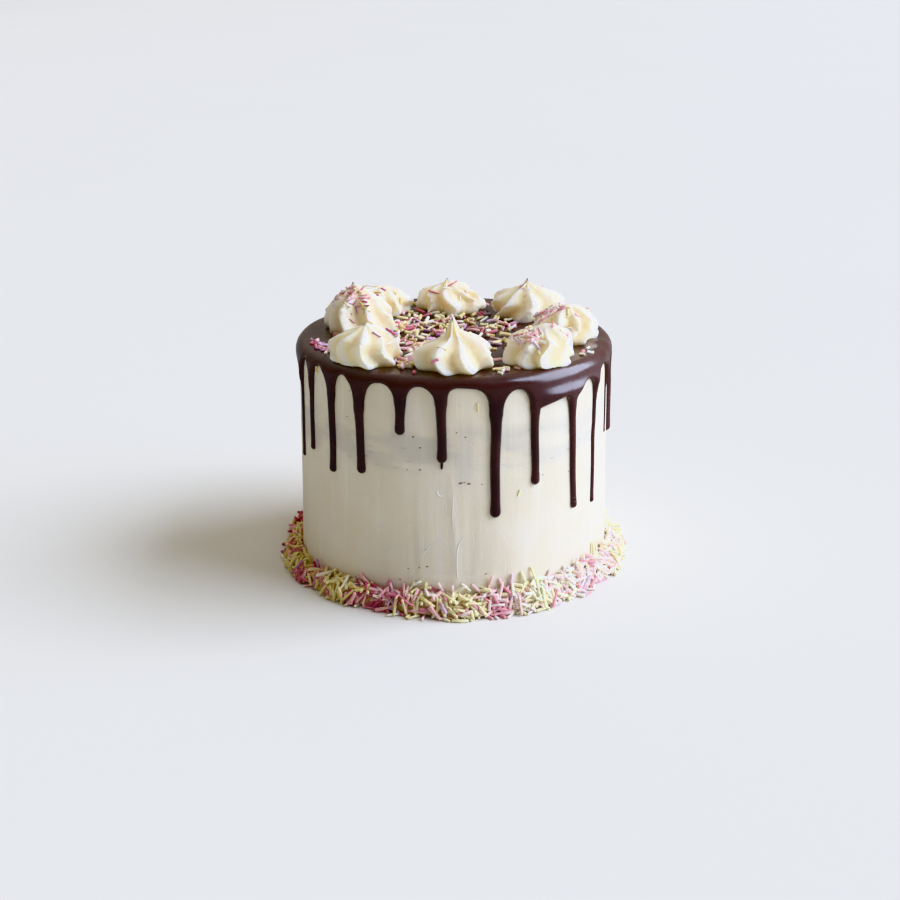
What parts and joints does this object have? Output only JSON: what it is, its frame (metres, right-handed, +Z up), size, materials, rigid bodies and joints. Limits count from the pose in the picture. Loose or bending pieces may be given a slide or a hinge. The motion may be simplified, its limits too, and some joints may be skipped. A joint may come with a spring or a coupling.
{
  "type": "drip cake",
  "caption": "Tall round cake in smooth pale buttercream, with dark chocolate drips, a ring of piped swirls on top, and sugar strands on top and round the foot.",
  "frame": {"origin": "centre of the flat underside, on the surface that the cake stands on", "axes": "+Z up; -Y is the front that the picture shows; +X is to the viewer's right"},
  "size_m": [0.178, 0.1797, 0.1403],
  "materials": {
    "buttercream": "smooth scraped buttercream, soft matte with faint scraper marks",
    "chocolate": "set dark chocolate ganache, glossy",
    "piped_buttercream": "piped buttercream, soft satin"
  },
  "bodies": {
    "root": {"cake": "buttercream", "chocolate_drip": "chocolate", "swirl_front": "piped_buttercream", "swirl_front_right": "piped_buttercream", "swirl_right": "piped_buttercream", "swirl_back_right": "piped_buttercream", "swirl_back": "piped_buttercream", "swirl_back_left": "piped_buttercream", "swirl_left": "piped_buttercream", "swirl_front_left": "piped_buttercream"}
  },
  "joints": []
}
